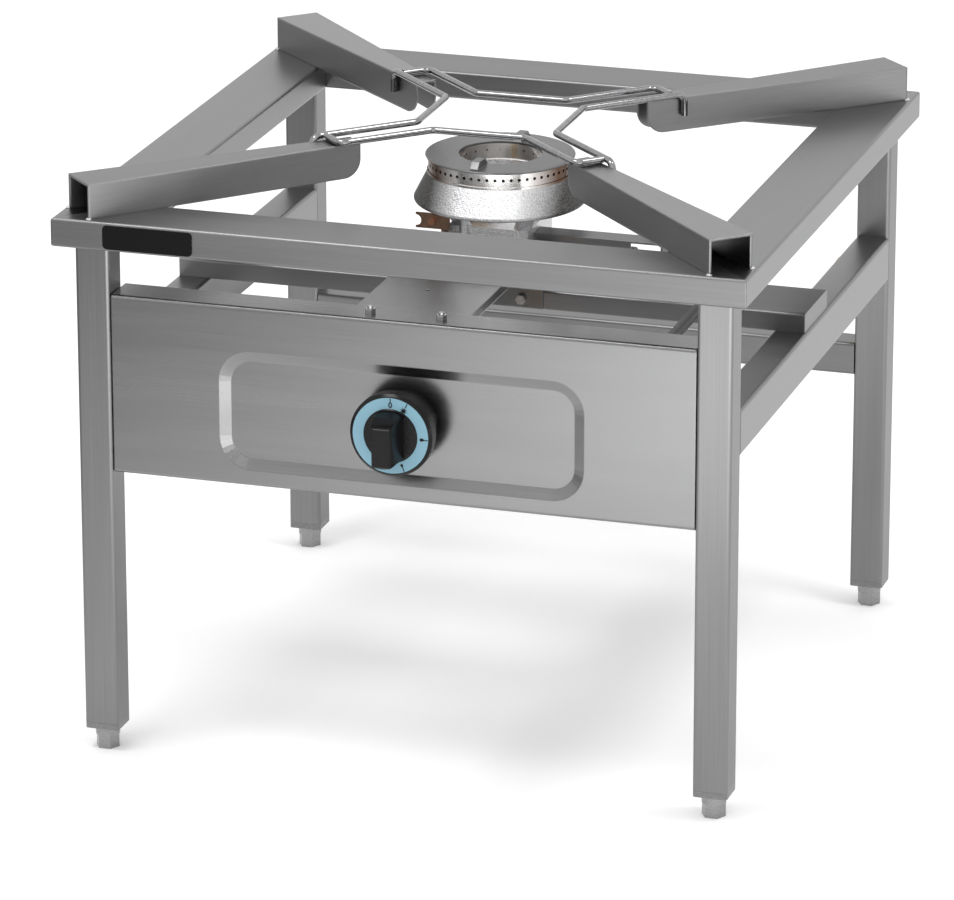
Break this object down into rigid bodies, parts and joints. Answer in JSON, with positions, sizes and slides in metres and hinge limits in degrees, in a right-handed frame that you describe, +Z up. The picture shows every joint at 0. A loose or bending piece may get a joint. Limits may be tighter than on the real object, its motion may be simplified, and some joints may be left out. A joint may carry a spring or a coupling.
{
  "type": "stock pot range",
  "caption": "Low floor-standing gas range on a square tube stand, with one ring burner, diagonal pot supports, a wire grid and a front panel with a round control knob",
  "frame": {"origin": "centre of the bounding box on the floor, under the range", "axes": "+Z up, -Y towards the front with the knob, +X to the right as seen from the front"},
  "size_m": [0.6, 0.635, 0.5153],
  "materials": {
    "stainless_frame": "brushed stainless tube, satin",
    "stainless_support": "brushed stainless sheet, satin",
    "stainless_panel": "brushed stainless sheet, satin",
    "bright_wire": "bright drawn wire",
    "grey_plastic": "moulded, matt",
    "black_plastic": "moulded, gloss",
    "dial_blue": "printed, satin",
    "zinc_fastener": "zinc plated",
    "brass_part": "turned, bare",
    "dark_pipe": "dark coated steel",
    "cast_burner": "rough cast",
    "flame_ring_steel": "heat tinted steel",
    "burner_cap_steel": "matt steel sheet",
    "heat_tinted_steel": "heat tinted brown",
    "copper_part": "bare copper"
  },
  "bodies": {
    "frame": {"top_rail_front": "stainless_frame", "top_rail_rear": "stainless_frame", "top_rail_left": "stainless_frame", "top_rail_right": "stainless_frame", "leg_front_left": "stainless_frame", "leg_front_right": "stainless_frame", "leg_rear_left": "stainless_frame", "leg_rear_right": "stainless_frame", "leg_plug_front_left": "grey_plastic", "leg_plug_front_right": "grey_plastic", "leg_plug_rear_left": "grey_plastic", "leg_plug_rear_right": "grey_plastic", "side_rail_left": "stainless_frame", "side_rail_right": "stainless_frame", "rear_rail": "stainless_frame", "burner_beam": "stainless_frame", "pot_support_front_left": "stainless_support", "pot_support_front_right": "stainless_support", "pot_support_rear_left": "stainless_support", "pot_support_rear_right": "stainless_support", "name_plate": "black_plastic", "front_panel": "stainless_panel", "panel_screws": "zinc_fastener", "valve_shield": "stainless_panel", "shield_bolts": "zinc_fastener", "knob_bezel": "black_plastic", "gas_valve": "brass_part", "valve_bonnet": "zinc_fastener", "supply_pipe": "dark_pipe", "gas_inlet": "brass_part", "pipe_clips": "zinc_fastener", "injector_pipe": "dark_pipe", "injector": "brass_part", "injector_bracket": "stainless_panel", "mixing_tube": "dark_pipe", "burner_body": "cast_burner", "burner_bolts": "zinc_fastener", "pilot_bracket": "heat_tinted_steel", "pilot_screws": "copper_part", "pilot_burner": "brass_part", "thermocouple": "zinc_fastener", "pilot_pipe": "copper_part", "thermocouple_lead": "copper_part"},
    "push": {"valve_plunger": "brass_part"},
    "knob": {"knob": "black_plastic", "dial_ring": "dial_blue", "valve_spindle": "brass_part"},
    "foot_front_left": {"foot_front_left": "zinc_fastener"},
    "foot_front_right": {"foot_front_right": "zinc_fastener"},
    "foot_rear_left": {"foot_rear_left": "zinc_fastener"},
    "foot_rear_right": {"foot_rear_right": "zinc_fastener"},
    "grid": {"grid_wire_left": "bright_wire", "grid_wire_right": "bright_wire", "grid_wire_front": "bright_wire", "grid_wire_rear": "bright_wire"},
    "burner_head": {"flame_ring": "flame_ring_steel", "burner_cap": "burner_cap_steel"},
    "air_shutter": {"air_shutter": "zinc_fastener"}
  },
  "joints": [
    {"name": "knob_push", "type": "slide", "parent": "frame", "child": "push", "axis": [0, 1, 0], "range_m": [0, 0.004], "stiffness_N_per_m": 900, "springref_m": -0.004},
    {"name": "knob_turn", "type": "hinge", "parent": "push", "child": "knob", "pos_m": [0, -0.2665, 0.32], "axis": [0, -1, 0], "range_deg": [0, 165]},
    {"name": "foot_front_left_screw", "type": "slide", "parent": "frame", "child": "foot_front_left", "axis": [0, 0, -1], "range_m": [0, 0.015]},
    {"name": "foot_front_right_screw", "type": "slide", "parent": "frame", "child": "foot_front_right", "axis": [0, 0, -1], "range_m": [0, 0.015]},
    {"name": "foot_rear_left_screw", "type": "slide", "parent": "frame", "child": "foot_rear_left", "axis": [0, 0, -1], "range_m": [0, 0.015]},
    {"name": "foot_rear_right_screw", "type": "slide", "parent": "frame", "child": "foot_rear_right", "axis": [0, 0, -1], "range_m": [0, 0.015]},
    {"name": "grid_lift", "type": "slide", "parent": "frame", "child": "grid", "axis": [0, 0, 1], "range_m": [0, 0.05]},
    {"name": "burner_head_lift", "type": "slide", "parent": "frame", "child": "burner_head", "axis": [0, 0, 1], "range_m": [0, 0.02]},
    {"name": "air_shutter_slide", "type": "slide", "parent": "frame", "child": "air_shutter", "axis": [1, 0, 0], "range_m": [0, 0.012]}
  ]
}
